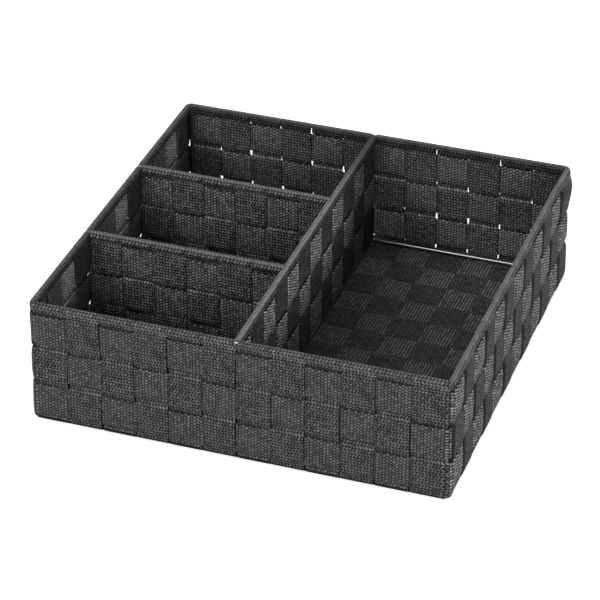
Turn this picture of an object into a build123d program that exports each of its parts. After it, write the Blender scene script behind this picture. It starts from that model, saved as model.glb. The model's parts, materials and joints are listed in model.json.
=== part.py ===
from build123d import *

import os
from math import cos, radians, sin

# A square drawer organiser woven from flat webbing on a welded wire frame, with four compartments.
# +Z is up, +X is to the right and the front faces -Y. The origin is the middle of the underside.

# Outside size, over the folded rim and down to the underside of the base
tray_width = 320.0
tray_depth = 320.0
tray_height = 100.0

# Webbing
strap_width = 25.1
strap_thickness = 1.0
weave_clearance = 0.1
least_strap_gap = 0.6
corner_room = 2.8

# Wire frame
rim_wire_diameter = 4.0
frame_wire_diameter = 3.0
bottom_wire_diameter = 2.2
weld_gap = 0.1
wire_seat = 0.15

# Rows of the woven walls
first_ring_height = 6.0
rim_band_height = 9.5
least_row_gap = 1.5
first_divider_row_height = 9.0

# Fold of each upright strap over its top wire
rim_overhang = 0.0
fold_straight = 1.5
fold_tail = 1.9
fold_facet_angle = 45.0
mitre_clearance = 0.1

# Compartments: one divider from front to back, and cross dividers that share out its left side
cross_divider_count = 2
divider_clearance = 0.2

# Layers of the weave, measured from the middle plane of a wall or of the base
layer_offset = (strap_thickness + weave_clearance) / 2
half_thickness = strap_thickness / 2
wall_half = layer_offset + half_thickness
base_layer_offset = strap_thickness + weave_clearance
base_middle = base_layer_offset + half_thickness
base_top = 2 * base_middle

# The wrapped rim and the walls that hang below it
fold_radius = rim_wire_diameter / 2 + weave_clearance + half_thickness
rim_radius = fold_radius + half_thickness
rim_height = tray_height - rim_radius
wall_inset = rim_overhang + wall_half
wall_x = tray_width / 2 - wall_inset
wall_y = tray_depth / 2 - wall_inset
rim_offset = wall_inset - rim_radius
rim_x = wall_x + rim_offset
rim_y = wall_y + rim_offset

# The strap beside a corner leaves room for the ring straps to turn the corner
edge_x = wall_x - corner_room
edge_y = wall_y - corner_room

# Corner posts stand on the base, inside the turns of the straps, and the bottom wires lie between them
rim_wire_radius = rim_wire_diameter / 2
frame_wire_radius = frame_wire_diameter / 2
bottom_wire_radius = bottom_wire_diameter / 2
post_x = edge_x - wire_seat - frame_wire_radius
post_y = edge_y - wire_seat - frame_wire_radius
bottom_wire_height = base_top + wire_seat + bottom_wire_radius
divider_wire_height = base_top + wire_seat + frame_wire_radius


def spread(low, high, width, least_gap):
    """Centres of as many equal bands as fit between two edges, spaced evenly."""
    count = int((high - low + least_gap) // (width + least_gap))
    if count == 1:
        return [(low + high) / 2]
    pitch = (high - low - width) / (count - 1)
    return [low + width / 2 + number * pitch for number in range(count)]


column_x = spread(-edge_x, edge_x, strap_width, least_strap_gap)
column_y = spread(-edge_y, edge_y, strap_width, least_strap_gap)
ring_top = tray_height - rim_band_height
ring_rows = spread(first_ring_height, ring_top, strap_width, least_row_gap)
divider_rows = spread(first_divider_row_height, ring_top, strap_width, least_row_gap)
columns_wide = len(column_x)
columns_deep = len(column_y)

# Dividers stand in the gaps between two columns
middle_divider_x = (column_x[columns_wide // 2 - 1] + column_x[columns_wide // 2]) / 2
cross_divider_y = []
for share in range(1, cross_divider_count + 1):
    before = round(columns_deep * share / (cross_divider_count + 1)) - 1
    cross_divider_y.append((column_y[before] + column_y[before + 1]) / 2)

os.makedirs("parts", exist_ok=True)


def save(node, *solids):
    """Write one named piece, or a group of equal pieces."""
    shape = solids[0] if len(solids) == 1 else Compound(children=list(solids))
    export_step(shape, f"parts/{node}.step")


def ribbon(path, plane, width):
    """A strap: its path gives middle points and the step to its outer face, and it is extruded across."""
    outer = [(point[0] + step[0], point[1] + step[1]) for point, step in path]
    inner = [(point[0] - step[0], point[1] - step[1]) for point, step in path]
    outline = Polyline(*outer, *reversed(inner), close=True)
    return extrude(plane * make_face(outline), amount=width)


def tile(centre, offset):
    """Middle line of one crossing: flat over the strap that it crosses, on one layer."""
    step = (0, half_thickness)
    return [((centre - strap_width / 2, offset), step), ((centre + strap_width / 2, offset), step)]


def upright_wall(rows, outside, fold_offset):
    """Middle line of an upright strap, from its lowest row to the tail of its fold, as outward and up."""
    path = []
    for row, is_outside in zip(rows, outside):
        offset = layer_offset if is_outside else -layer_offset
        path += [((offset, height), (half_thickness, 0)) for (height, offset), step in tile(row, offset)]
    path.append(((fold_offset + fold_radius, rim_height - fold_straight), (half_thickness, 0)))
    corner = 1 / cos(radians(fold_facet_angle / 2))
    angle = fold_facet_angle / 2
    while angle < 180:
        outward = (corner * cos(radians(angle)), corner * sin(radians(angle)))
        middle = (fold_offset + fold_radius * outward[0], rim_height + fold_radius * outward[1])
        path.append((middle, (half_thickness * outward[0], half_thickness * outward[1])))
        angle += fold_facet_angle
    path.append(((fold_offset - fold_radius, rim_height - fold_tail), (-half_thickness, 0)))
    return path


def tray_strap(plane, wall, base, start_outside, end_outside):
    """A strap that comes down one wall, crosses the base and goes up the opposite wall."""
    start = [
        ((-wall - offset, height), (-step[0], step[1]))
        for (offset, height), step in reversed(upright_wall(ring_rows, start_outside, rim_offset))
    ]
    middle = [(point, (0, -half_thickness)) for point in base]
    end = [
        ((wall + offset, height), step)
        for (offset, height), step in upright_wall(ring_rows, end_outside, rim_offset)
    ]
    return ribbon(start + middle + end, plane, strap_width)


def outside_rows(column, rows):
    """Plain weave: an upright strap lies outside every other row, and its neighbours the other rows."""
    return [(column + row) % 2 == 1 for row in range(1, len(rows) + 1)]


# Places of the uprights counted once round the tray: front, right, back and left wall
def front_count(column):
    return column


def right_count(column):
    return columns_wide + column


def back_count(column):
    return 2 * columns_wide + columns_deep + 1 - column


def left_count(column):
    return 2 * columns_wide + 2 * columns_deep + 1 - column


def wire(start, end, diameter):
    """A straight round wire between two points."""
    line = Edge.make_line(start, end)
    return Solid.make_cylinder(diameter / 2, line.length, Plane(start, z_dir=line % 0))


def corner_mitre(side):
    """Waste beside the diagonal of each rim corner, for the folds of one pair of opposite walls."""
    reach = 3 * rim_radius
    low = rim_height - fold_straight - fold_tail
    prisms = []
    for x_sign in (-1, 1):
        for y_sign in (-1, 1):
            points = [(reach, reach), (-reach, -reach), (reach, -reach) if side == "x" else (-reach, reach)]
            shift = (-mitre_clearance, 0) if side == "x" else (0, -mitre_clearance)
            outline = [
                (x_sign * (wall_x + x + shift[0]), y_sign * (wall_y + y + shift[1])) for x, y in points
            ]
            face = Plane.XY.offset(low) * make_face(Polyline(*outline, close=True))
            prisms.append(extrude(face, amount=tray_height - low + rim_radius, dir=(0, 0, 1)))
    return prisms


def cut(solid, tools):
    """Take the tools out of a strap where they reach it."""
    for tool in tools:
        if solid.bounding_box().overlaps(tool.bounding_box()):
            solid = solid - tool
    return solid


def notch(start, end, diameter):
    """A square slot, cut in a strap where a divider's wire passes to the wire that it is welded to."""
    size = diameter + 2 * wire_seat
    line = Edge.make_line(start, end)
    return extrude(Plane(start, z_dir=line % 0) * Rectangle(size, size), amount=line.length)


def middle_notch(height, diameter):
    return notch((middle_divider_x, -rim_y, height), (middle_divider_x, rim_y, height), diameter)


def cross_notches(height, diameter):
    return [
        notch((-rim_x, place, height), (middle_divider_x, place, height), diameter)
        for place in cross_divider_y
    ]


# Lengthwise straps lie flat along the base, from the front rim to the back rim
for number, centre in enumerate(column_x, 1):
    strap = tray_strap(
        Plane.YZ.offset(centre - strap_width / 2),
        wall_y,
        [(-edge_y, base_middle), (edge_y, base_middle)],
        outside_rows(front_count(number), ring_rows),
        outside_rows(back_count(number), ring_rows),
    )
    if number in (1, columns_wide):
        strap = cut(strap, corner_mitre("x"))
    save(f"lengthwise_strap_{number:02d}", cut(strap, [middle_notch(rim_height, rim_wire_diameter)]))

# Crosswise straps go over and under them, from the left rim to the right rim
for number, centre in enumerate(column_y, 1):
    base = []
    for column, place in enumerate(column_x, 1):
        rise = base_layer_offset if (column + number) % 2 == 0 else -base_layer_offset
        base += [point for point, step in tile(place, base_middle + rise)]
    strap = tray_strap(
        Plane.XZ.offset(-centre - strap_width / 2),
        wall_x,
        base,
        outside_rows(left_count(number), ring_rows),
        outside_rows(right_count(number), ring_rows),
    )
    if number in (1, columns_deep):
        strap = cut(strap, corner_mitre("y"))
    save(f"crosswise_strap_{number:02d}", cut(strap, cross_notches(rim_height, rim_wire_diameter)))


# Ring straps go once round the tray, in front of one upright and behind the next
def ring_outline(row, face_step):
    """One face of a ring strap seen from above, a step outward or inward from its middle line."""
    walls = [column_x, column_y, column_x, column_y]
    counts = [
        front_count,
        right_count,
        lambda number: back_count(columns_wide + 1 - number),
        lambda number: left_count(columns_deep + 1 - number),
    ]
    planes = [wall_y, wall_x, wall_y, wall_x]
    offsets = [
        [-layer_offset if outside_rows(count(number), ring_rows)[row] else layer_offset
         for number in range(1, len(columns) + 1)]
        for columns, count in zip(walls, counts)
    ]
    points = []
    for side, columns in enumerate(walls):
        after = (side + 1) % len(walls)
        places = columns if side < 2 else sorted(-place for place in columns)
        local = []
        for centre, offset in zip(places, offsets[side]):
            depth = -planes[side] - offset - face_step
            local += [(centre - strap_width / 2, depth), (centre + strap_width / 2, depth)]
        slant = face_step * (2**0.5 - 1)
        corner_x = planes[after] + offsets[after][0]
        corner_y = -planes[side] - offsets[side][-1]
        local.append((corner_x - half_thickness + slant, corner_y - face_step))
        local.append((corner_x + face_step, corner_y + half_thickness - slant))
        points += [Vector(x, y).rotate(Axis.Z, 90 * side) for x, y in local]
    return Polyline(*points, close=True)


for row, centre in enumerate(ring_rows):
    outer = make_face(ring_outline(row, half_thickness))
    inner = make_face(ring_outline(row, -half_thickness))
    ring = extrude(Plane.XY.offset(centre - strap_width / 2) * (outer - inner), amount=strap_width)
    save(f"ring_strap_{row + 1}", ring)


# Dividers: woven panels whose uprights fold over a top wire and weave round a bottom wire
def trimmed(columns, low, high):
    """Edges of the uprights of a divider, in line with the tray's columns and cut to its ends."""
    edges = [(max(place - strap_width / 2, low), min(place + strap_width / 2, high)) for place in columns]
    return [(start, end) for start, end in edges if end - start > strap_width / 2]


def divider_upright(outside):
    """Middle line of a divider's upright, from the base up and over the top wire."""
    foot = frame_wire_radius + weave_clearance + half_thickness
    foot = -foot if outside[0] else foot
    step = (half_thickness, 0)
    path = [((foot, base_top + weave_clearance), step), ((foot, divider_wire_height + half_thickness), step)]
    return path + upright_wall(divider_rows, outside, 0)


def divider_band(edges, outside, row, low, high):
    """Middle line of a horizontal strap of a divider, as along and towards the uprights' outer side."""
    path = []
    for (start, end), rows in zip(edges, outside):
        offset = -layer_offset if rows[row] else layer_offset
        path += [((start, offset), (0, half_thickness)), ((end, offset), (0, half_thickness))]
    first, last = path[0], path[-1]
    path[0] = ((low, first[0][1]), first[1])
    path[-1] = ((high, last[0][1]), last[1])
    return path


def placed(path, place, sign):
    """Turn a path's outward values into places on the axis across a divider."""
    return [((place + sign * point[0], point[1]), (sign * step[0], step[1])) for point, step in path]


panel_end_x = post_x - bottom_wire_radius - wire_seat
panel_end_y = post_y - bottom_wire_radius - wire_seat
band_end_x = wall_x - wall_half - divider_clearance
band_end_y = wall_y - wall_half - divider_clearance

# Middle divider, from the front wall to the back wall
edges = trimmed(column_y, -panel_end_y, panel_end_y)
outside = [outside_rows(number, divider_rows) for number in range(1, len(edges) + 1)]
notches = cross_notches(rim_height, rim_wire_diameter)
notches += cross_notches(divider_wire_height, frame_wire_diameter)
uprights = []
for (start, end), rows in zip(edges, outside):
    path = placed(divider_upright(rows), middle_divider_x, 1)
    uprights.append(cut(ribbon(path, Plane.XZ.offset(-end), end - start), notches))
save("middle_divider_uprights", *uprights)
for row, centre in enumerate(divider_rows):
    path = divider_band(edges, outside, row, -band_end_y, band_end_y)
    path = [((middle_divider_x + across, along), (step[1], step[0])) for (along, across), step in path]
    strap = ribbon(path, Plane.XY.offset(centre - strap_width / 2), strap_width)
    save(f"middle_divider_strap_{row + 1}", strap)

# Cross dividers, from the left wall to the middle divider
cross_band_end = middle_divider_x - wall_half - divider_clearance
cross_end = middle_divider_x - max(rim_radius, frame_wire_radius + weave_clearance + strap_thickness)
left_columns = [place for place in column_x if place < middle_divider_x]
for number, place in enumerate(cross_divider_y, 1):
    name = f"cross_divider_{number}"
    edges = trimmed(left_columns, -panel_end_x, cross_end - divider_clearance)
    outside = [outside_rows(number + column, divider_rows) for column in range(1, len(edges) + 1)]
    uprights = []
    for (start, end), rows in zip(edges, outside):
        path = placed(divider_upright(rows), place, -1)
        uprights.append(ribbon(path, Plane.YZ.offset(start), end - start))
    save(f"{name}_uprights", *uprights)
    for row, centre in enumerate(divider_rows):
        path = divider_band(edges, outside, row, -band_end_x, cross_band_end)
        path = [((along, place - across), (step[0], -step[1])) for (along, across), step in path]
        strap = ribbon(path, Plane.XY.offset(centre - strap_width / 2), strap_width)
        save(f"{name}_strap_{row + 1}", strap)

# Welded wire frame: rim, corner posts, bottom wires and the wires of the dividers
corners = [(-rim_x, -rim_y), (rim_x, -rim_y), (rim_x, rim_y), (-rim_x, rim_y)]
rim_path = Wire.make_polygon([(x, y, rim_height) for x, y in corners])
rim_section = Plane((0, -rim_y, rim_height), z_dir=(1, 0, 0)) * Circle(rim_wire_radius)
save("rim_wire", sweep(rim_section, path=rim_path, transition=Transition.RIGHT))

post_top = rim_height - rim_wire_radius - weld_gap
for side, x_sign in (("left", -1), ("right", 1)):
    for end, y_sign in (("front", -1), ("back", 1)):
        foot = (x_sign * post_x, y_sign * post_y, base_top + wire_seat)
        save(f"corner_post_{end}_{side}", wire(foot, (foot[0], foot[1], post_top), frame_wire_diameter))

bottom_end_x = post_x - frame_wire_radius - weld_gap
bottom_end_y = post_y - frame_wire_radius - weld_gap
for name, sign in (("front", -1), ("back", 1)):
    start = (-bottom_end_x, sign * post_y, bottom_wire_height)
    end = (bottom_end_x, sign * post_y, bottom_wire_height)
    save(f"bottom_wire_{name}", wire(start, end, bottom_wire_diameter))
for name, sign in (("left", -1), ("right", 1)):
    start = (sign * post_x, -bottom_end_y, bottom_wire_height)
    end = (sign * post_x, bottom_end_y, bottom_wire_height)
    save(f"bottom_wire_{name}", wire(start, end, bottom_wire_diameter))

top_end_x = rim_x - rim_wire_radius - weld_gap
top_end_y = rim_y - rim_wire_radius - weld_gap
low_end_x = post_x - bottom_wire_radius - weld_gap
low_end_y = post_y - bottom_wire_radius - weld_gap
for name, height, diameter, end_x, end_y in (
    ("top", rim_height, rim_wire_diameter, top_end_x, top_end_y),
    ("bottom", divider_wire_height, frame_wire_diameter, low_end_x, low_end_y),
):
    start = (middle_divider_x, -end_y, height)
    save(f"middle_divider_{name}_wire", wire(start, (middle_divider_x, end_y, height), diameter))
    for number, place in enumerate(cross_divider_y, 1):
        start = (-end_x, place, height)
        end = (middle_divider_x - diameter / 2 - weld_gap, place, height)
        save(f"cross_divider_{number}_{name}_wire", wire(start, end, diameter))
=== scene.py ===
import json
import math
import bpy
import numpy as np
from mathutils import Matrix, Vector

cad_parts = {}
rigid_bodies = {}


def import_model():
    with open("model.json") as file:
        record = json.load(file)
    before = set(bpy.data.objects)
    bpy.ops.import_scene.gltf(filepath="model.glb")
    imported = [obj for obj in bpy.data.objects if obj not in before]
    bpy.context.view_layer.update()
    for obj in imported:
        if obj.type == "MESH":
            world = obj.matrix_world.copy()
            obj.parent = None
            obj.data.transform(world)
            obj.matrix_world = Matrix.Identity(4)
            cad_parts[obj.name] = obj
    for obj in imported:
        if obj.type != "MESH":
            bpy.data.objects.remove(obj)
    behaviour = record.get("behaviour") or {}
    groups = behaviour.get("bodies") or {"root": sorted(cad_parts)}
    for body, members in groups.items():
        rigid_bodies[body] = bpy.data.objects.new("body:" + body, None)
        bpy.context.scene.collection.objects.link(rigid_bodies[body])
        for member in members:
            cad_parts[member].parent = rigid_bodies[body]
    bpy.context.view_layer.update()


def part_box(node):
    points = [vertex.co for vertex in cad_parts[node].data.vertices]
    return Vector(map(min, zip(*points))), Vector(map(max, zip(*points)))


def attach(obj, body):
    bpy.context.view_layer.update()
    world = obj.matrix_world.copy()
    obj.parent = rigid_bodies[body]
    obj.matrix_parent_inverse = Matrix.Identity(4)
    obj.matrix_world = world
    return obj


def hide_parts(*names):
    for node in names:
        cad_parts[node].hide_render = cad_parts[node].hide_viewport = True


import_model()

mm = 0.001
print("frame loaded")


def boxMm(node):  # corners of a CAD node in millimetres
    low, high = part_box(node)
    return np.array(low) / mm, np.array(high) / mm


def middle(node, axis):
    low, high = boxMm(node)
    return (low[axis] + high[axis]) / 2


weave = {  # the webbing, and how it swings from one side of a wall to the other
    "width": 24.95, "thickness": 1.0, "step": 0.8,
    "amplitude": 1.2, "baseAmplitude": 0.55, "ringAmplitude": 1.3, "turn": 0.95,
    "curl": 0.2, "ringCurl": 0.75, "curlPower": 4,
    "wallHalf": 1.05, "cornerRadius": 4.0, "flareX": 1.0, "flareY": 2.6, "flareTop": 75.0,
    "wobble": 0.62, "widthSpread": 0.08, "riseSpread": 0.08, "seed": 7,
}
rimFold = {"thinner": 0.9, "clearance": 0.1}  # thinner than the CAD's rim; its top and outside stay

# places read from the CAD: columns, rows, wires and wall planes
columnX = np.array([middle("lengthwise_strap_%02d" % n, 0) for n in range(1, 13)])
columnY = np.array([middle("crosswise_strap_%02d" % n, 1) for n in range(1, 13)])
rowZ = np.array([middle("ring_strap_%d" % n, 2) for n in (1, 2, 3)])
wireLow, wireHigh = boxMm("rim_wire")
foldZ = (wireHigh[2] + wireLow[2]) / 2
rimRadius = (wireHigh[2] - wireLow[2]) / 2 - rimFold["thinner"]
rimZ = wireHigh[2] - rimRadius
rimReach = wireHigh[0] - rimRadius
foldRadius = rimRadius + rimFold["clearance"] + weave["thickness"] / 2
wallReach = boxMm("ring_strap_1")[1][0] - weave["wallHalf"]  # middle plane of the woven wall
straightReach = wallReach - weave["cornerRadius"]
halfSide = straightReach + weave["cornerRadius"] * math.pi / 4  # a wall's middle to its corner's middle
around = 8 * halfSide  # length of a ring

rng = np.random.default_rng(weave["seed"])


def smoothStep(value, start, end):  # 0 before start, 1 after end, 3t^2 - 2t^3 between
    t = np.clip((value - start) / (end - start), 0, 1)
    return t * t * (3 - 2 * t)


def resample(points, step):  # even spacing along a polyline
    gaps = np.linalg.norm(np.diff(points, axis=0), axis=1)
    run = np.concatenate(([0.0], np.cumsum(gaps)))
    at = np.linspace(0, run[-1], int(round(run[-1] / step)) + 1)
    return np.stack([np.interp(at, run, points[:, k]) for k in range(2)], axis=1), at


def swing(at, gaps, first, closed=False):  # +1 outside, -1 inside, logistic change at each gap
    count = len(gaps) if closed else len(gaps) - 1
    levels = first * (-1.0) ** np.arange(count)
    if closed:  # a few gaps more at both ends, so that the ring meets itself
        gaps = np.concatenate((gaps[-3:] - around, gaps, gaps[:3] + around))
        levels = np.concatenate((levels[-4:], levels, levels[:3]))
    else:
        levels = np.concatenate(([0.0], levels, [0.0]))
    rise = 1 / (1 + np.exp(-(at[:, None] - gaps[None, :]) / weave["turn"]))
    return levels[0] + rise @ np.diff(levels)


section = {
    "spots": (-1, -0.987, -0.95, -0.82, -0.5, 0, 0.25, 0.5, 0.66, 0.82, 0.95, 0.987, 1), "squareness": 24,
}


def sectionLoop():  # flat strap: half thickness times sqrt(1 - |t|^squareness), nothing at both edges
    t = np.array(section["spots"])
    thick = np.sqrt(1 - np.abs(t) ** section["squareness"]) * weave["thickness"] / 2
    return np.concatenate((t, t[-2:0:-1])), np.concatenate((thick, -thick[-2:0:-1]))


across, lift = sectionLoop()  # place over the width from -1 to 1, and height over the strap's middle
outerFace = lift >= 0

wander = {"lengths": (26.0, 12.0, 7.0), "shares": (0.6, 0.3, 0.2)}


def drift(at, size):  # slow seeded wander, a sum of three sines
    phase = rng.uniform(0, 2 * math.pi, 3)
    waves = np.sin(at[:, None] / np.array(wander["lengths"]) + phase)
    return size * waves @ np.array(wander["shares"])


def flareAt(z, size):  # the soft walls lean out towards the base
    return size * (1 - smoothStep(z, 0.0, weave["flareTop"]))


softCorner = {"reach": 2.6, "height": 84.0, "spread": 15.0, "startX": 115.0, "startY": 120.0, "end": 156.0}


def soften(points):  # one back corner stands out under its rim: a bell by height, fading in along both walls
    bulge = smoothStep(points[..., 0], softCorner["startX"], softCorner["end"])
    bulge = bulge * smoothStep(points[..., 1], softCorner["startY"], softCorner["end"])
    bell = np.exp(-((points[..., 2] - softCorner["height"]) / softCorner["spread"]) ** 2)
    points[..., 0] += softCorner["reach"] * bulge * bell
    return points


def carry(centre, outward, side, at, level, inset=(0, 0), amplitude=weave["amplitude"], curl=weave["curl"]):
    # point = centre + side * across + outward * (weave level less edge curl + section lift)
    half = weave["width"] / 2 + rng.uniform(-weave["widthSpread"], weave["widthSpread"])
    left = np.broadcast_to(-half + inset[0], at.shape)[:, None]
    right = np.broadcast_to(half - inset[1], at.shape)[:, None]
    v = left + (right - left) * (across[None, :] + 1) / 2 + drift(at, weave["wobble"])[:, None]
    amplitude = np.broadcast_to(amplitude, at.shape)[:, None]
    rise = level[:, None] * amplitude * (1 - curl * np.abs(across[None, :]) ** weave["curlPower"])
    rise = rise * (1 + drift(at, weave["riseSpread"])[:, None]) + lift[None, :]
    return centre[:, None, :] + side * v[:, :, None] + outward[:, None, :] * rise[:, :, None]


cornerWrap = {"inmost": -4.2, "low": 2.5, "high": 9.0}


def wrapCorners(points, along, lateral):  # beyond the straight part, run along a wall becomes angle
    lat = points[..., lateral]
    out = points[..., along]
    beyond = np.clip(np.abs(lat) - straightReach, 0, None)
    radius = weave["cornerRadius"] + np.maximum(np.abs(out) - wallReach, cornerWrap["inmost"])
    angle = beyond / weave["cornerRadius"]
    weight = smoothStep(points[..., 2], cornerWrap["low"], cornerWrap["high"]) * (beyond > 0)
    newLat = np.sign(lat) * (straightReach + radius * np.sin(angle))
    newOut = np.sign(out) * (straightReach + radius * np.cos(angle))
    points[..., lateral] = lat + (newLat - lat) * weight
    points[..., along] = out + (newOut - out) * weight
    return points


# painted shade in the creases and at the selvages, and painted highlights (glow, upper) where a strap comes
# up into the light
crease = {
    "depth": 0.5, "outer": (-0.55, 0.25), "inner": (-0.4, 0.5), "covered": (0.3, 0.9), "inside": 0.15,
    "hidden": 0.1, "edge": 0.75, "selvage": 0.985, "rimEase": 0.8, "glow": 0.3, "upper": 0.5,
    "slope": (-0.01, 0.01),
}


def paintedCreaseShade(level, rim, weight, edge=crease["selvage"], edgeEnd=1.0):
    # painted shade: dark where a face dips under a strap, and dark at a selvage as if in the shadow of the
    # gap beside it
    outer = 1 - np.maximum(smoothStep(level, *crease["outer"]), rim)
    inner = 1 - np.maximum(smoothStep(-level, *crease["inner"]), rim)
    outer = 1 - crease["depth"] * np.broadcast_to(weight, level.shape) * outer
    covered = crease["inside"] + (1 - crease["inside"]) * smoothStep(level, *crease["covered"])
    inner = 1 - crease["depth"] * inner * covered
    shown = np.where(outerFace[None, :], outer[:, None], inner[:, None])
    start = np.broadcast_to(edge, level.shape)[:, None]
    end = np.broadcast_to(edgeEnd, level.shape)[:, None]
    selvage = smoothStep(across[None, :], start, end)
    selvage = np.maximum(selvage, smoothStep(-across[None, :], crease["selvage"], 1.0))
    ease = 1 - crease["rimEase"] * np.broadcast_to(rim, level.shape)[:, None]
    return shown * (1 - crease["edge"] * selvage * ease)


def upperGlow(level, rising, shown):  # the upper end of each stretch that shows catches the light from above
    ends = np.where(outerFace[None, :], 1 - rising[:, None], rising[:, None])
    return 1 + crease["upper"] * ends * np.clip(1 - level[:, None] ** 2, 0, 1) * shown


def gridCells(n, m, closed):  # each cell's row and column and the next ones, on n rows of loops with m points
    i, j = np.meshgrid(np.arange(n if closed else n - 1), np.arange(m), indexing="ij")
    return i, j, (i + 1) % n, (j + 1) % m


def addPiece(name, mesh, material, slot, *nodes):
    mesh.polygons.foreach_set("use_smooth", np.ones(len(mesh.polygons), dtype=bool))
    mesh.materials.append(material)
    mesh.update()
    piece = bpy.data.objects.new(name, mesh)
    bpy.context.collection.objects.link(piece)
    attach(piece, "root")
    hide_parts(*nodes)


# tone carries the painted light and shade; relief stretches the weave's contrast as painted relief shading
looks = ("tone", "plain", "chevron", "relief")  # what the webbing's material reads from the mesh


def addStraps(name, node, grids, closed=False):  # one grid per strap: points, run and the four looks
    verts, faces, uvs, values = [], [], [], []
    start = 0
    m = len(across)
    half = weave["width"] / 2
    for points, at, tone, *levels in grids:
        n = points.shape[0]
        values.append([tone.reshape(-1)] + [np.repeat(np.broadcast_to(level, (n,)), m) for level in levels])
        verts.append(points.reshape(-1, 3) * mm)
        i, j, i2, j2 = gridCells(n, m, closed)
        quads = np.stack((i * m + j, i * m + j2, i2 * m + j2, i2 * m + j), axis=-1).reshape(-1, 4) + start
        faces.extend(quads.tolist())
        step = at[1] - at[0]
        u = np.stack((at[i], at[i], at[i] + step, at[i] + step), axis=-1).reshape(-1)
        v = np.stack((across[j], across[j2], across[j2], across[j]), axis=-1).reshape(-1) * half
        uvs.append(np.stack((u, v), axis=-1))
        if not closed:  # both cut ends
            faces.append((start + np.arange(m)[::-1]).tolist())
            faces.append((start + (n - 1) * m + np.arange(m)).tolist())
            uvs.append(np.tile([[at[0], 0.0]], (m, 1)))
            uvs.append(np.tile([[at[-1], 0.0]], (m, 1)))
        start += n * m
    mesh = bpy.data.meshes.new(name)
    mesh.from_pydata(np.concatenate(verts).tolist(), [], faces)
    layer = mesh.uv_layers.new(name="weave")
    layer.data.foreach_set("uv", np.concatenate(uvs).astype(np.float32).reshape(-1))
    for place, label in enumerate(looks):
        attribute = mesh.attributes.new(label, "FLOAT", "POINT")
        value = np.concatenate([strap[place] for strap in values])
        attribute.data.foreach_set("value", value.astype(np.float32))
    addPiece(name, mesh, webbing, "webbing", node)


def mathNode(tree, operation, *values):  # numbers are set, sockets are linked
    node = tree.nodes.new("ShaderNodeMath")
    node.operation = operation
    for place, value in enumerate(values):
        if isinstance(value, (int, float)):
            node.inputs[place].default_value = value
        else:
            tree.links.new(value, node.inputs[place])
    return node.outputs[0]


yarn = {
    "columnPitch": 2.47, "ribPitch": 2.43, "lean": 0.5, "chevronLean": 0.66, "brick": 0.42,
    "lowShare": 0.22, "middleLevel": 0.49, "plainLevel": 0.45, "toneRange": 0.7,
    "light": (0.275, 0.273, 0.266, 1), "dark": (0.005, 0.005, 0.0048, 1),
    "roughness": 0.6, "specular": 0.08, "bump": 1.0, "bumpDepth": 0.0006, "stray": 0.5, "strayScale": 0.22,
}
chevrons = {"level": 0.5, "zigzag": 1.0}  # ribs that stand level in staggered columns, or zigzag


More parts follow.
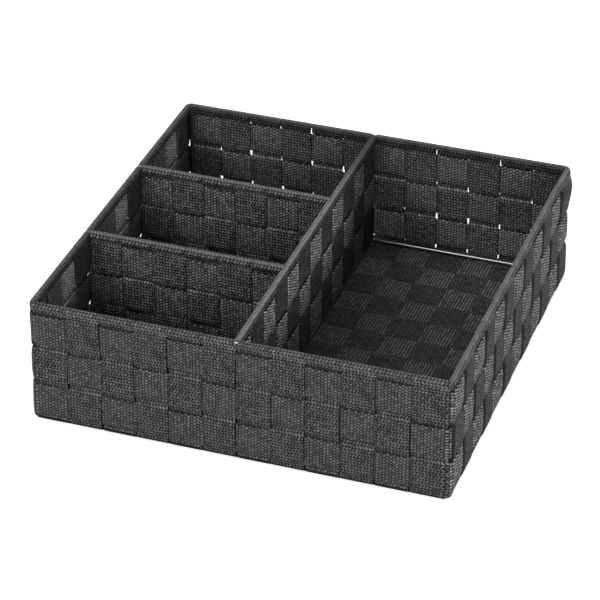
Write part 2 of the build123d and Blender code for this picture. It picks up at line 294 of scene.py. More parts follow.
def herringboneGroup():
    # columns stand across the strap and ribs run along it; the ribs lean by half a rib per column, stand
    # level in staggered columns at chevron 0.5, or zigzag at chevron 1;
    # height = column arch * (low + rest * rib arch), with the two arches swapped from chevron 0.5 on
    group = bpy.data.node_groups.new("herringbone", "ShaderNodeTree")
    group.interface.new_socket(name="Place", in_out="INPUT", socket_type="NodeSocketVector")
    group.interface.new_socket(name="Chevron", in_out="INPUT", socket_type="NodeSocketFloat")
    group.interface.new_socket(name="Height", in_out="OUTPUT", socket_type="NodeSocketFloat")
    group.interface.new_socket(name="Tone", in_out="OUTPUT", socket_type="NodeSocketFloat")

    def sums(operation, *values):
        return mathNode(group, operation, *values)

    into = group.nodes.new("NodeGroupInput")
    outOf = group.nodes.new("NodeGroupOutput")
    split = group.nodes.new("ShaderNodeSeparateXYZ")
    group.links.new(into.outputs["Place"], split.inputs[0])
    chevron = into.outputs["Chevron"]
    stray = group.nodes.new("ShaderNodeTexNoise")
    stray.inputs["Scale"].default_value = yarn["strayScale"]
    stray.inputs["Detail"].default_value = 1.0
    group.links.new(into.outputs["Place"], stray.inputs["Vector"])
    straySplit = group.nodes.new("ShaderNodeSeparateXYZ")
    group.links.new(stray.outputs["Color"], straySplit.inputs[0])
    run = sums("DIVIDE", split.outputs[0], yarn["columnPitch"])
    run = sums("MULTIPLY_ADD", straySplit.outputs[0], yarn["stray"], run)
    lean = sums("MULTIPLY", run, yarn["lean"])
    swapped = sums("MINIMUM", sums("MULTIPLY", chevron, 2.0), 1.0)
    inColumn = sums("SUBTRACT", sums("FRACT", run), 0.5)
    level = sums("MULTIPLY", sums("MULTIPLY", inColumn, swapped), -yarn["brick"])
    lean = sums("ADD", lean, level)
    bent = sums("MAXIMUM", sums("MULTIPLY_ADD", chevron, 2.0, -1.0), 0.0)
    zigzag = sums("MULTIPLY", sums("PINGPONG", run, 1.0), yarn["chevronLean"])
    lean = sums("MULTIPLY_ADD", sums("SUBTRACT", zigzag, lean), bent, lean)
    rib = sums("ADD", sums("DIVIDE", split.outputs[1], yarn["ribPitch"]), lean)
    rib = sums("MULTIPLY_ADD", straySplit.outputs[1], yarn["stray"], rib)
    arches = []
    for value in (run, rib):  # arch = 1 - off^2, off from -1 to 1 over each column or rib
        off = sums("MULTIPLY_ADD", sums("FRACT", value), 2.0, -1.0)
        arches.append(sums("SUBTRACT", 1.0, sums("MULTIPLY", off, off)))
    rest = 1 - yarn["lowShare"]
    ribbed = sums("MULTIPLY", arches[0], sums("MULTIPLY_ADD", arches[1], rest, yarn["lowShare"]))
    zigzagged = sums("MULTIPLY", arches[1], sums("MULTIPLY_ADD", arches[0], rest, yarn["lowShare"]))
    height = sums("MULTIPLY_ADD", sums("SUBTRACT", zigzagged, ribbed), swapped, ribbed)
    group.links.new(height, outOf.inputs["Height"])
    cell = group.nodes.new("ShaderNodeCombineXYZ")
    group.links.new(sums("FLOOR", run), cell.inputs[0])
    group.links.new(sums("FLOOR", rib), cell.inputs[1])
    noise = group.nodes.new("ShaderNodeTexWhiteNoise")
    noise.noise_dimensions = "2D"
    group.links.new(cell.outputs[0], noise.inputs["Vector"])
    tone = sums("MULTIPLY_ADD", noise.outputs["Value"], yarn["toneRange"], 1 - yarn["toneRange"] / 2)
    group.links.new(tone, outOf.inputs["Tone"])
    return group


def newMaterial(name):  # the material, its node tree and its shader
    material = bpy.data.materials.new(name)
    material.use_nodes = True
    return material, material.node_tree, material.node_tree.nodes["Principled BSDF"]


# the herringbone is the webbing's own pattern; its low yarn is painted darker, as shade in its hollows
def webbingMaterial():  # dark to light by yarn height * cell tone * strap tone; plain levels it out
    material, tree, shader = newMaterial("darkWebbing")
    shader.inputs["Roughness"].default_value = yarn["roughness"]
    shader.inputs["Specular IOR Level"].default_value = yarn["specular"]
    place = tree.nodes.new("ShaderNodeUVMap")
    place.uv_map = "weave"
    pattern = tree.nodes.new("ShaderNodeGroup")
    pattern.node_tree = herringboneGroup()
    tree.links.new(place.outputs[0], pattern.inputs["Place"])
    mix = tree.nodes.new("ShaderNodeMix")
    mix.data_type = "RGBA"
    mix.clamp_factor = False
    mix.inputs[6].default_value = yarn["dark"]  # 6 and 7 are its two colours, output 2 the mixed one
    mix.inputs[7].default_value = yarn["light"]
    read = {}
    for label in looks:
        node = tree.nodes.new("ShaderNodeAttribute")
        node.attribute_name = label
        read[label] = node.outputs["Fac"]
    tree.links.new(read["chevron"], pattern.inputs["Chevron"])
    woven = mathNode(tree, "SUBTRACT", 1.0, read["plain"])
    cover = mathNode(tree, "MULTIPLY", pattern.outputs["Height"], pattern.outputs["Tone"])
    cover = mathNode(tree, "SUBTRACT", cover, yarn["middleLevel"])  # relief stretches tones about this
    cover = mathNode(tree, "MULTIPLY_ADD", cover, read["relief"], yarn["middleLevel"])
    cover = mathNode(tree, "MAXIMUM", cover, 0.0)
    level = mathNode(tree, "MULTIPLY", read["plain"], yarn["plainLevel"])
    level = mathNode(tree, "MULTIPLY_ADD", cover, woven, level)
    tree.links.new(mathNode(tree, "MULTIPLY", level, read["tone"]), mix.inputs[0])
    tree.links.new(mix.outputs[2], shader.inputs["Base Color"])
    bump = tree.nodes.new("ShaderNodeBump")
    bump.inputs["Strength"].default_value = yarn["bump"]
    bump.inputs["Distance"].default_value = yarn["bumpDepth"]
    tree.links.new(mathNode(tree, "MULTIPLY", pattern.outputs["Height"], woven), bump.inputs["Height"])
    tree.links.new(bump.outputs["Normal"], shader.inputs["Normal"])
    return material


steel = {"colour": (0.46, 0.46, 0.45, 1), "roughness": 0.28}
# painted shade: near black for the posts and the dividers' bottom wires
shadeBlack = {"colour": (0.02, 0.02, 0.02, 1)}

webbing = webbingMaterial()
wireFinish, _, wireShader = newMaterial("brightWire")
wireShader.inputs["Base Color"].default_value = steel["colour"]
wireShader.inputs["Metallic"].default_value = 1.0
wireShader.inputs["Roughness"].default_value = steel["roughness"]
shadeBlackFinish, _, shadeBlackShader = newMaterial("shadeBlackWire")
shadeBlackShader.inputs["Base Color"].default_value = shadeBlack["colour"]
print("materials made")

tray = {
    "baseMiddle": 1.15, "baseBend": 1.8, "bendMiddle": 0.29, "blendStart": foldZ - 6.3, "riseShare": 0.92,
    "tailEnd": foldZ - 4.7, "tailLean": 0.4,
    "foldSteps": 41, "bendSteps": 25, "flatSteps": 60, "wallSteps": 40, "finer": 8,
}


def foldPath(reach, radius, height, wall, tailLean):  # S up to the wire, half circle over it, tail inside
    t = np.linspace(0, 1, tray["foldSteps"])
    z = tray["blendStart"] + (height - tray["blendStart"]) * t
    rise = np.stack((wall + (reach + radius - wall) * smoothStep(t, 0, tray["riseShare"]), z), axis=1)
    over = np.stack((reach + radius * np.cos(t * math.pi), height + radius * np.sin(t * math.pi)), axis=1)
    down = height + (tray["tailEnd"] - height) * t
    tail = np.stack((reach - radius + tailLean * smoothStep(t, 0, 1), down), axis=1)
    return np.concatenate((rise, over[1:], tail[1:]))


def trayProfile(flare):  # base, quarter bend, wall and fold of one half, then mirrored
    bend = tray["baseBend"]
    turn = np.linspace(0, 1, tray["bendSteps"]) * math.pi / 2
    foot = wallReach + float(flareAt(tray["baseMiddle"] + bend, flare)) - bend
    run = np.linspace(0, foot, tray["flatSteps"])
    flat = np.stack((run, np.full(len(run), tray["baseMiddle"])), axis=1)
    corner = np.stack((foot + bend * np.sin(turn), tray["baseMiddle"] + bend * (1 - np.cos(turn))), axis=1)
    z = np.linspace(tray["baseMiddle"] + bend, tray["blendStart"], tray["wallSteps"])
    wall = np.stack((wallReach + flareAt(z, flare), z), axis=1)
    fold = foldPath(rimReach, foldRadius, rimZ, wallReach, tray["tailLean"])
    half = np.concatenate((flat, corner[1:], wall[1:], fold[1:]))
    mirrored = half[::-1] * np.array([-1, 1])
    return resample(np.concatenate((mirrored[:-1], half)), weave["step"])


def nearestRun(path, at, spot):  # run along the path at its point nearest to the spot
    fine = np.linspace(at[0], at[-1], tray["finer"] * len(at))
    return fine[np.argmin(np.hypot(*[np.interp(fine, at, path[:, k]) - spot[k] for k in (0, 1)]))]


def middles(values):  # halfway between neighbours
    return (values[1:] + values[:-1]) / 2


sideChange = {"row": -1.2, "rim": 13.0, "dividerRim": 14.2}  # where an upright changes side, from its rows
rowGaps = np.concatenate((middles(rowZ) + sideChange["row"], [rowZ[-1] + sideChange["rim"]]))


def trayGaps(path, at, columns, flare):  # run of every change of side, from one rim to the other
    foot = wallReach + flare - tray["baseBend"] * tray["bendMiddle"]
    low = tray["baseMiddle"] + tray["baseBend"] * tray["bendMiddle"]
    spots = [(-wallReach, z) for z in rowGaps[::-1]] + [(-foot, low)]
    spots += [(c, tray["baseMiddle"]) for c in middles(columns)]
    spots += [(foot, low)] + [(wallReach, z) for z in rowGaps]
    return np.array([nearestRun(path, at, spot) for spot in spots])


def outwardOf(path):  # unit step square to the path, in the path's own plane
    ahead = np.gradient(path, axis=0)
    ahead /= np.linalg.norm(ahead, axis=1)[:, None]
    return np.stack((ahead[:, 1], -ahead[:, 0]), axis=1)


def placeOn(path, along, lateral, offset):  # plane path in space: first value along an axis, second up
    points = np.zeros((len(path), 3))
    points[:, along] = path[:, 0]
    points[:, lateral] = offset
    points[:, 2] = path[:, 1]
    return points


plainTop = {"front": 1.0, "side": 0.35, "strength": 0.65, "fade": 0.7, "under": 0.5}


def foldPlain(path, reach, height, start):  # a fold's top shows less weave, by angle round the wire
    angle = np.arctan2(path[:, 1] - height, np.abs(path[:, 0]) - reach)
    return smoothStep(angle, start, start + plainTop["fade"]) * (path[:, 1] > height - plainTop["under"])


rimEdge = {"notch": 1.75, "notchFoot": 0.3, "spread": 0.78, "base": 0.8, "corner": 1.3, "slit": 0.15}
shutSlit = {  # slits that are shut: gap between columns, row, how far
    "reach": 1.1, "height": 3.4, "baseZ": 2.5,
    "back": ((6, 0, 1.0), (6, 1, 1.0), (6, 2, 1.0), (7, 0, 0.5), (7, 1, 1.5), (7, 2, 1.2), (8, 2, 0.5),
             (10, 2, 1.4), (3, 2, 0.35), (4, 2, 0.4), (2, 1, 0.4), (9, 0, 0.3)),
    "left": ((3, 2, 3.4), (7, 2, 3.4), (8, 2, 1.4), (11, 2, 3.4), (4, 1, 1.2), (8, 1, 1.2)),
}
slitZ = (shutSlit["baseZ"], rowGaps[0], rowGaps[1])
spans = {  # heights over which something sets in: over the floor, or from a fold's wire
    "nearBase": (2.0, 9.0), "onBase": (1.2, 1.9), "baseEdge": (1.5, 4.0), "cornerEdge": (2.0, 8.0),
    "lowCrease": (8.0, 14.0), "rim": (-5.5, -2.0), "rimTop": (0.9, 2.2), "rimOpen": (-0.8, 1.6),
    "slitFrom": (-8.0, -6.0), "slitTo": (-0.5, 1.0), "tail": (-1.0, 0.6),
}
# painted light and shade: strap directions, inside and outside faces, the right wall, the floor tiles, the
# rims and the middle divider's right face each take a lighter or darker copy of the one webbing
tones = {
    "upright": 0.72, "uprightRight": 0.12, "uprightInside": 0.92,
    "ring": 0.84, "ringRight": 0.66, "ringInside": 1.24,
    "baseLong": 0.26, "baseCross": 0.47, "rim": 1.0, "rightRim": 1.75, "rimShade": 0.1, "tailShade": 0.5,
    "middleBand": 2.3, "middleRim": 1.5, "middleUpright": 0.55, "facing": (-0.3, 0.3),
}
# painted relief shading: how far each strap's weave contrast is stretched, most on the dividers and on the
# right wall's rings
relief = {
    "upright": 1.25, "ring": 1.0, "ringRight": 0.7,
    "dividerUpright": 1.7, "crossBand": 1.3, "middleBand": 1.75,
}
wedge = {"edge": 0.965, "start": 0.5, "low": 0.4, "soft": 0.2, "upright": 0.8}  # shade on the right wall
inside = {  # light inside the compartments, with the places where each share sets in
    "wallFrom": 4.0, "glowFrom": 8.0, "wide": 0.5, "narrow": -0.28, "depth": (8.0, 72.0),
    "corner": 0.62, "cornerFrom": (0.7, 0.8), "cornerTo": (0.97, 1.0),
    "gleam": 0.75, "gleamFrom": (0.48, 0.54), "gleamTo": (0.7, 0.76), "gleamUp": (58.0, 66.0),
    "left": 0.2, "leftReach": 4.0, "side": 0.3, "sideSpan": (4.0, 95.0),
    "front": 0.58, "frontSpan": (-120.0, 0.0), "back": 0.7, "backSpan": (40.0, 150.0),
}
crossPlanes = [-wallReach] + [middle("cross_divider_%d_top_wire" % d, 1) for d in (1, 2)] + [wallReach]


# painted light and shade inside the compartments: a painted lift low down on the inside faces in the wide
# right half and painted shade in the left half; the left walls painted darker, more towards the back of each
# small compartment, with a painted highlight (gleam) on one upper column; and on the floor painted shade near
# the middle divider and the front, painted light towards the back
def insideGain(points):  # gain low down on inside faces: more in the wide right half, less in the left half
    x, y, z = points[..., 0], points[..., 1], points[..., 2]
    low = 1 - smoothStep(z, *inside["depth"])
    share = inside["narrow"] + (inside["wide"] - inside["narrow"]) * (x > 0)
    onWall = z > inside["wallFrom"]
    gain = 1 + share * low * ~outerFace * onWall
    along = np.interp(y, crossPlanes, np.arange(4.0)) % 1.0  # place in the small compartment
    shade = inside["corner"] * smoothStep(along, *inside["cornerFrom"])
    shade = shade * (1 - smoothStep(along, *inside["cornerTo"]))
    gleam = smoothStep(along, *inside["gleamFrom"]) * (1 - smoothStep(along, *inside["gleamTo"]))
    gleam = gleam * smoothStep(z, *inside["gleamUp"])
    onLeft = ~outerFace * onWall * (x < -wallReach + inside["leftReach"])
    left = inside["left"]
    gain = gain * (1 + ((inside["gleam"] + left) * gleam - left - shade * (1 - left)) * onLeft)
    nearSide = 1 - inside["side"] * (1 - smoothStep(x, *inside["sideSpan"]))
    nearFront = 1 - inside["front"] * (1 - smoothStep(y, *inside["frontSpan"]))
    nearBack = 1 + inside["back"] * smoothStep(y, *inside["backSpan"])
    return gain * np.where(onWall, 1.0, nearSide * nearFront * nearBack)


def facing(level):  # 1 where a strap shows outside, 0 where it shows inside
    return smoothStep(level, *tones["facing"])


# painted light and shade: the outside and inside faces take their own tones
def insideOut(level, within, outside):  # tone of a strap that shows one face outside and one inside
    return within + (outside - within) * facing(level)


def parity(n):
    return 1 if n % 2 == 0 else -1


def overFloor(z, name):
    return smoothStep(z, *spans[name])


def overFold(z, name, fold=foldZ):
    return smoothStep(z, fold + spans[name][0], fold + spans[name][1])


lengthwise = {
    "along": 1, "columns": columnX, "crossed": columnY, "flare": weave["flareY"], "first": -1,
    "side": (1.0, 0, 0), "farSign": 1, "shut": shutSlit["back"], "notched": ((7,), (6,)),
    "baseTone": tones["baseLong"], "lowWeight": 1.0, "plainStart": plainTop["front"],
    "piece": "lengthwiseStrap%02d", "node": "lengthwise_strap_%02d",
}
crosswise = {
    "along": 0, "columns": columnY, "crossed": columnX, "flare": weave["flareX"], "first": 1,
    "side": (0, -1.0, 0), "farSign": -1, "shut": shutSlit["left"], "notched": ((5, 9), (4, 8)),
    "baseTone": tones["baseCross"], "lowWeight": 0.1, "plainStart": plainTop["side"],
    "piece": "crosswiseStrap%02d", "node": "crosswise_strap_%02d",
}


def trayStraps(kind):  # twelve straps along one profile; edges and tones change with height and with the wall
    along, lateral = kind["along"], 1 - kind["along"]
    path, at = trayProfile(kind["flare"])
    x, z = path[:, 0], path[:, 1]
    steps = placeOn(outwardOf(path), along, lateral, 0.0)
    side = np.array(kind["side"])
    gaps = trayGaps(path, at, kind["crossed"], kind["flare"])
    rimPart = overFold(z, "rim")
    onBase = 1 - overFloor(z, "onBase")
    nearBase = 1 - overFloor(z, "nearBase")
    amplitude = weave["amplitude"] + (weave["baseAmplitude"] - weave["amplitude"]) * nearBase
    plain = plainTop["strength"] * foldPlain(path, rimReach, rimZ, kind["plainStart"])

    # edges: closed up at the rim and the base, cut beside a divider, open over the back wall's slits
    closeUp = -rimEdge["spread"] * rimPart - rimEdge["base"] * (1 - overFloor(z, "baseEdge"))
    endUp = closeUp - rimEdge["corner"] * overFloor(z, "cornerEdge")
    notch = rimEdge["notchFoot"] * rimPart + rimEdge["notch"] * overFold(z, "rimTop")
    cut = closeUp + notch * ((x < 0) if along == 0 else 1)
    openUp = closeUp + rimEdge["spread"] * (rimPart - overFold(z, "rimOpen")) * (x > 0)
    slit = overFold(z, "slitFrom") * (1 - overFold(z, "slitTo"))
    openUp = openUp + rimEdge["slit"] * slit * (x > 0)
    farWall = x * kind["farSign"] > 0  # the left and back walls

    # tones: painted light on the right wall and its rim with a painted shaded wedge, painted shade on the rim
    # and tail of the far walls
    onRight = (x > 0) * (z > inside["wallFrom"]) * (along == 0)
    climb = (z - rowGaps[0]) / (rowGaps[1] - rowGaps[0]) % 1.0
    edgeStart = wedge["edge"] - wedge["start"] * (wedge["low"] + (1 - wedge["low"]) * climb) * onRight
    edgeEnd = np.minimum(1.0, edgeStart + wedge["soft"])
    rimTone = tones["rim"] + (tones["rightRim"] - tones["rim"]) * onRight
    farTop = nearestRun(path, at, (kind["farSign"] * rimReach, rimZ + foldRadius))
    farTail = ((at - farTop) * kind["farSign"] > 0) * (1 - overFold(z, "tail", rimZ))
    # painted shade on the far walls' rim and on the tail under it
    farShade = (1 - tones["rimShade"] * rimPart * farWall) * (1 - tones["tailShade"] * farTail)
    offBase = z > inside["glowFrom"]

    for n, column in enumerate(kind["columns"], 1):
        below, above = [cut if n in pair else closeUp for pair in kind["notched"]]
        if along == 1 and cut is not below and cut is not above:
            below, above = (closeUp, openUp) if n % 2 == 0 else (openUp, closeUp)
        below = endUp if n == 1 else below
        above = endUp if n == len(kind["columns"]) else above
        for gap, row, share in kind["shut"]:  # the strap spreads a little beside a slit that is shut
            bell = np.exp(-((z - slitZ[row]) / shutSlit["height"]) ** 2)
            spread = share * shutSlit["reach"] * bell * farWall
            below = below - spread * (gap == n - 1)
            above = above - spread * (gap == n)
        inset = (below, above) if along == 1 else (above, below)
        level = swing(at, gaps, kind["first"] * parity(n + 1))
        # painted light and shade: each face takes its own tone, lighter outside on the right wall
        tone = insideOut(level, tones["uprightInside"], tones["upright"] + tones["uprightRight"] * onRight)
        # painted sheen on the floor tiles by strap direction, and the rim's painted highlight on the fold's
        # top
        tone = tone + (kind["baseTone"] - tone) * onBase + (rimTone - 1) * plain
        lowEnd = smoothStep(np.gradient(level) * np.sign(np.gradient(z)), *crease["slope"])
        weight = (kind["lowWeight"] - crease["hidden"]) * lowEnd * overFloor(z, "lowCrease")
        weight = crease["hidden"] + weight
        # painted highlight on the upper end of each outside stretch, where the strap comes out from under the
        # next one
        tone = tone * (1 + crease["glow"] * (1 - lowEnd) * (1 - np.abs(level)) * (level > 0) * offBase)
        # painted shade on the right wall's uprights where they show outside
        tone = tone * (1 - (1 - wedge["upright"]) * onRight * facing(level) * (1 - rimPart))
        tone = (tone * farShade)[:, None] * paintedCreaseShade(level, rimPart, weight, edgeStart, edgeEnd)
        points = carry(placeOn(path, along, lateral, column), steps, side, at, level, inset, amplitude)
        points = soften(wrapCorners(points, along, lateral))
        tone = tone * insideGain(points) * upperGlow(level, lowEnd, ~outerFace[None, :] * offBase[:, None])
        grid = (points, at, tone, plain, 1 - onBase, relief["upright"])
        addStraps(kind["piece"] % n, kind["node"] % n, [grid])


trayStraps(lengthwise)
trayStraps(crosswise)
print("tray straps made")


def perimeter(run, radiusShift=0.0):  # rounded square from the front wall's middle, and its outward step
    wall = np.floor((run + halfSide) / (2 * halfSide))
    place = run - 2 * halfSide * wall
    beyond = np.clip(np.abs(place) - straightReach, 0, None)
    angle = beyond / weave["cornerRadius"] * np.sign(place)
    radius = weave["cornerRadius"] + radiusShift
    x = np.clip(place, -straightReach, straightReach) + radius * np.sin(angle)
    y = -straightReach - radius * np.cos(angle)
    outX, outY = np.sin(angle), -np.cos(angle)
    c, s = np.cos(wall * math.pi / 2), np.sin(wall * math.pi / 2)
    places = np.stack((c * x - s * y, s * x + c * y), axis=1)
    return places, np.stack((c * outX - s * outY, s * outX + c * outY), axis=1)


ring = {"drop": 4.2, "reach": 7.0, "end": 1.0, "lap": 1.6, "frontCrease": 0.9, "rightCrease": 1.1}
upward = np.array([0, 0, 1.0])
ringCount = int(around / weave["step"])
ringAt = -halfSide + np.arange(ringCount) * around / ringCount
ringPlace, ringOut = perimeter(ringAt)
outward = np.concatenate((ringOut, np.zeros((ringCount, 1))), axis=1)
frontWall, rightWall = np.clip(-ringOut[:, 1], 0, 1), np.clip(ringOut[:, 0], 0, 1)
flare = weave["flareX"] * ringOut[:, 0] ** 2 + weave["flareY"] * ringOut[:, 1] ** 2
wallGaps = np.concatenate(([-halfSide], middles(columnX)))
ringGaps = np.concatenate([wallGaps + 2 * halfSide * w for w in range(4)])
atCorner = np.arange(len(ringGaps)) % len(wallGaps) == 0
toCorner = np.abs((ringAt + halfSide) % (2 * halfSide) - halfSide)  # 0 at a wall's middle
footDrop = ring["drop"] * smoothStep(toCorner, halfSide - ring["reach"], halfSide - ring["end"])
for k in (1, 2, 3):
    first = parity(1 + k)
    centre = np.concatenate((ringPlace, np.full((ringCount, 1), rowZ[k - 1])), axis=1)
    turns = ringGaps - ring["lap"] * first * atCorner  # it laps round each corner
    level = swing(ringAt, turns, first, closed=True)
    drop = footDrop * (k == 1)  # the lowest ring reaches down round the corners
    points = carry(centre, outward, upward, ringAt, level, (-drop, 0.0),
                   weave["ringAmplitude"], weave["ringCurl"])
    points = soften(points + outward[:, None, :] * flareAt(points[..., 2], flare[:, None])[..., None])
    # painted light on the right wall's rings, and painted crease shade on the front and right walls
    tone = insideOut(level, tones["ringInside"], tones["ring"] + tones["ringRight"] * rightWall)
    rising = smoothStep(np.gradient(level), *crease["slope"])
    weight = crease["hidden"] + ring["frontCrease"] * rising * frontWall
    weight = weight + ring["rightCrease"] * (1 - rising) * rightWall
    tone = tone[:, None] * paintedCreaseShade(level, 0.0, weight) * insideGain(points)
    strength = relief["ring"] + relief["ringRight"] * rightWall
    grid = (points, ringAt, tone, 0.0, chevrons["level"], strength)
    addStraps("ringStrap%d" % k, "ring_strap_%d" % k, [grid], closed=True)
print("rings made")

deepShade = {
    "low": 22.0, "high": 75.0, "floor": 0.3, "front": 40.0, "back": 140.0, "rear": 0.3,
    "crossLow": 20.0, "crossHigh": 62.0, "crossFloor": 0.45,
}


def shadeDown(points):  # soft shade in the depth of a compartment: less light low down and towards the back
    up = smoothStep(points[..., 2], deepShade["low"], deepShade["high"])
    rear = 1 - (1 - deepShade["rear"]) * smoothStep(points[..., 1], deepShade["front"], deepShade["back"])
    return (deepShade["floor"] + (1 - deepShade["floor"]) * up) * rear


def crossShade(points):  # the same between the small compartments, by height alone
    up = smoothStep(points[..., 2], deepShade["crossLow"], deepShade["crossHigh"])
    return deepShade["crossFloor"] + (1 - deepShade["crossFloor"]) * up


def dividerShade(points, ofMiddle):  # the middle divider's right face stands in the deep compartment
    return np.where(outerFace * ofMiddle, shadeDown(points), crossShade(points))


divider = {"foot": 0.2, "firstTurn": 0.5, "spread": 1.3, "tailLean": 1.0, "endGap": 0.2, "endTurn": 0.3}


def dividerUprights(name, node, wireNode, along, plane, columns, firsts, rows):
    # straight up from the base, then the same fold as the tray's over the divider's own wire
    ofMiddle = along == 0
    lateral = 1 - along
    wLow, wHigh = boxMm(wireNode)
    radius = (wHigh[2] - wLow[2]) / 2
    height = wHigh[2] - radius
    fold = radius + rimFold["clearance"] + weave["thickness"] / 2
    foot = np.array([[0.0, boxMm(node)[0][2] + divider["foot"]]])
    path = np.concatenate((foot, foldPath(0.0, fold, height, 0.0, divider["tailLean"])))
    path, at = resample(path, weave["step"])
    plain = plainTop["strength"] * foldPlain(path, 0.0, height, plainTop["side"])
    rimPart = overFold(path[:, 1], "rim", height)
    closeUp = -divider["spread"] * rimEdge["spread"] * rimPart
    turnZ = list(middles(rows)) + [rows[-1] + sideChange["dividerRim"]]
    gaps = np.array([divider["firstTurn"]] + [nearestRun(path, at, (0.0, z)) for z in turnZ])
    side = np.zeros(3)
    side[lateral] = -1.0
    mirror = np.array([1 if ofMiddle else -1, 1])
    steps = placeOn(outwardOf(path) * mirror, along, lateral, 0.0)
    # painted light and shade on the middle divider's right face: a lighter rim top and darker uprights
    rimTone = tones["middleRim"] if ofMiddle else tones["rim"]
    body = np.where(outerFace * ofMiddle, tones["middleUpright"], tones["uprightInside"])
    grids = []
    for column, first in zip(columns, firsts):
        centre = placeOn(path * mirror, along, lateral, column)
        centre[:, along] += plane
        level = swing(at, gaps, first)
        points = carry(centre, steps, side, at, level, (closeUp, closeUp))
        tone = body + (rimTone - body) * (plain / plainTop["strength"])[:, None]
        tone = tone * paintedCreaseShade(level, rimPart, crease["inside"]) * dividerShade(points, ofMiddle)
        rising = smoothStep(np.gradient(level), *crease["slope"])
        tone = tone * upperGlow(level, rising, (1 - rimPart)[:, None])
        grids.append((points, at, tone, plain, chevrons["zigzag"], relief["dividerUpright"]))
    addStraps(name, node, grids)


def dividerBand(name, node, along, plane, columns, first, tone):
    # level strap that weaves through the uprights
    ofMiddle = along == 1
    low, high = boxMm(node)
    count = int((high[along] - low[along]) / weave["step"])
    at = np.linspace(0, high[along] - low[along] - 2 * divider["endGap"], count)
    centre = np.zeros((count, 3))
    centre[:, along] = low[along] + divider["endGap"] + at
    centre[:, 1 - along] = plane
    centre[:, 2] = (low[2] + high[2]) / 2
    steps = np.zeros((count, 3))
    steps[:, 1 - along] = 1 if ofMiddle else -1
    between = middles(columns) - low[along] - divider["endGap"]
    level = swing(at, np.concatenate(([divider["endTurn"]], between, [at[-1] - divider["endTurn"]])), first)
    points = carry(centre, steps, upward, at, level)
    tone = tone * paintedCreaseShade(level, 0.0, crease["inside"]) * dividerShade(points, ofMiddle)
    strength = relief["middleBand" if ofMiddle else "crossBand"]
    addStraps(name, node, [(points, at, tone, 0.0, chevrons["level"], strength)])


plane = middle("middle_divider_top_wire", 0)
rows = np.array([middle("middle_divider_strap_%d" % k, 2) for k in (1, 2, 3)])
firsts = [parity(n) for n in range(1, 13)]
dividerUprights("middleUprights", "middle_divider_uprights", "middle_divider_top_wire",
                0, plane, columnY, firsts, rows)
# painted light: the middle divider's bands show lighter on its right face
faces = np.where(outerFace, tones["middleBand"], tones["ringInside"])
for k in (1, 2, 3):
    dividerBand("middleBand%d" % k, "middle_divider_strap_%d" % k, 1, plane, columnY, parity(k + 1), faces)
for d in (1, 2):
    nodes = "cross_divider_%d_" % d
    plane = middle(nodes + "top_wire", 1)
    rows = np.array([middle(nodes + "strap_%d" % k, 2) for k in (1, 2, 3)])
    firsts = [parity(n + d) for n in range(1, 7)]
    dividerUprights("crossUprights%d" % d, nodes + "uprights", nodes + "top_wire",
                    1, plane, columnX[:6], firsts, rows)
    for k in (1, 2, 3):
        first = parity(k + d - 1)
        dividerBand("crossBand%d%d" % (d, k), nodes + "strap_%d" % k,
                    0, plane, columnX[:6], first, tones["ringInside"])
print("dividers made")

# rim wire: a round rod along the rounded square, bent at the corners
wire = {"sides": 14, "every": 2}
sides = wire["sides"]
tubePlace, tubeOut = perimeter(ringAt[::wire["every"]], rimReach - wallReach)
angle = np.linspace(0, 2 * math.pi, sides, endpoint=False)
tube = np.zeros((len(tubePlace), sides, 3))
tube[:, :, :2] = tubePlace[:, None, :] + tubeOut[:, None, :] * (rimRadius * np.cos(angle))[None, :, None]
tube[:, :, 2] = rimZ + rimRadius * np.sin(angle)[None, :]
i, j, i2, j2 = gridCells(len(tubePlace), sides, True)
quads = np.stack((i * sides + j, i2 * sides + j, i2 * sides + j2, i * sides + j2), axis=-1)
mesh = bpy.data.meshes.new("rimWire")
mesh.from_pydata((tube.reshape(-1, 3) * mm).tolist(), [], quads.reshape(-1, 4).tolist())
addPiece("rimWire", mesh, wireFinish, "frame_wire", "rim_wire")
print("rim wire made")

# wires that stay CAD nodes take the bright finish; posts and the dividers' bottom wires take a near-black
# finish, painted shade that sinks them into the shade around them
for shown in bpy.data.objects:
    if shown.type == "MESH" and ("_wire" in shown.name or "corner_post" in shown.name):
        dark = "post" in shown.name or ("divider" in shown.name and "bottom" in shown.name)
        for place in shown.material_slots:
            place.material = shadeBlackFinish if dark else wireFinish
print("wires finished")

stage = {"reach": 3.0, "colour": (0.8, 0.8, 0.8, 1), "roughness": 0.9, "glow": 0.75, "drop": 0.0005}
white = (1, 1, 1, 1)
reach = stage["reach"]
corners = [(-reach, -reach, 0), (reach, -reach, 0), (reach, reach, 0), (-reach, reach, 0)]
floorMesh = bpy.data.meshes.new("floor")
floorMesh.from_pydata(corners, [], [(0, 1, 2, 3)])
floorMaterial, floorTree, floorShader = newMaterial("floorPaint")
floorShader.inputs["Base Color"].default_value = stage["colour"]
floorShader.inputs["Roughness"].default_value = stage["roughness"]
floorShader.inputs["Specular IOR Level"].default_value = 0.0
floorShader.inputs["Emission Color"].default_value = white
seen = floorTree.nodes.new("ShaderNodeLightPath")
glow = mathNode(floorTree, "MULTIPLY", seen.outputs["Is Camera Ray"], stage["glow"])
floorTree.links.new(glow, floorShader.inputs["Emission Strength"])
floorMesh.materials.append(floorMaterial)
floor = bpy.data.objects.new("floor", floorMesh)
floor.location = (0, 0, -stage["drop"])
bpy.context.collection.objects.link(floor)

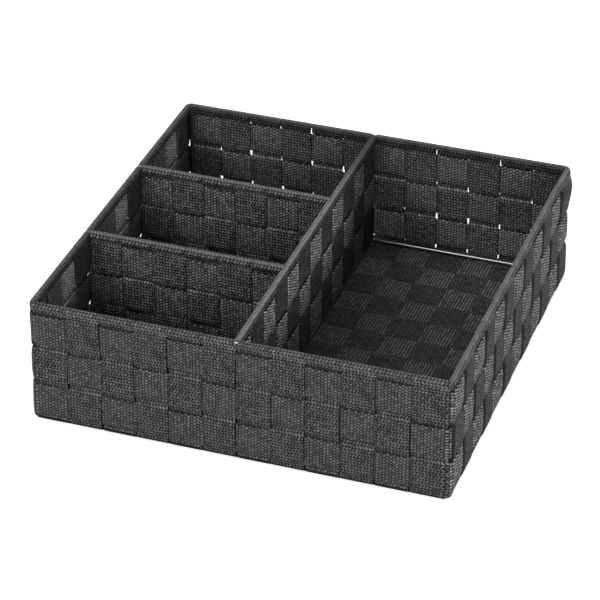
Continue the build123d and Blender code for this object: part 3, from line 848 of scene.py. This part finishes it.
studio = {"ambient": 0.3}
world = bpy.data.worlds.new("studio")
bpy.context.scene.world = world
world.use_nodes = True
tree = world.node_tree
back = tree.nodes["Background"]
back.inputs["Color"].default_value = white
pathKind = tree.nodes.new("ShaderNodeLightPath")
bright = mathNode(tree, "MAXIMUM", pathKind.outputs["Is Camera Ray"], pathKind.outputs["Is Glossy Ray"])
strength = mathNode(tree, "MULTIPLY_ADD", bright, 1 - studio["ambient"], studio["ambient"])
tree.links.new(strength, back.inputs["Strength"])

lamps = {  # place, target, side in metres, watts
    "right": ((1.65, -1.0, 0.75), (0, 0, 0.05), 0.9, 8.5),
    "left": ((-1.0, -1.3, 1.6), (0, 0, 0.05), 0.9, 12.0),
    "above": ((0.1, 0.2, 1.5), (0, 0, 0), 1.0, 6.3),
}


def softBox(name, place, target, size, power):  # square lamp turned from its place to its target
    lamp = bpy.data.lights.new(name, "AREA")
    lamp.shape = "RECTANGLE"
    lamp.size = lamp.size_y = size
    lamp.energy = power
    shown = bpy.data.objects.new(name, lamp)
    ahead = np.array(target) - np.array(place)
    ahead = ahead / np.linalg.norm(ahead)
    shown.location = place
    shown.rotation_euler = (math.acos(-ahead[2]), 0, math.atan2(ahead[1], ahead[0]) - math.pi / 2)
    bpy.context.collection.objects.link(shown)


for name, setting in lamps.items():
    softBox(name, *setting)

view = {
    "az": 0.332171, "el": 0.581061, "distance": 2.16658, "raise": 0.002,
    "lens": 169.2215, "sensor": 36, "shift": (-0.015849, 0.067688), "farthest": 20,
}
camera = bpy.data.cameras.new("camera")
camera.lens = view["lens"]
camera.sensor_width = view["sensor"]
camera.shift_x, camera.shift_y = view["shift"]
camera.clip_end = view["farthest"]
eye = bpy.data.objects.new("camera", camera)
flat = math.cos(view["el"]) * view["distance"]
eyeZ = math.sin(view["el"]) * view["distance"] + view["raise"]
eye.location = (math.sin(view["az"]) * flat, -math.cos(view["az"]) * flat, eyeZ)
eye.rotation_euler = (math.pi / 2 - view["el"], 0, view["az"])
bpy.context.collection.objects.link(eye)
bpy.context.scene.camera = eye
bpy.context.scene.view_settings.view_transform = "Standard"
print("stage set")
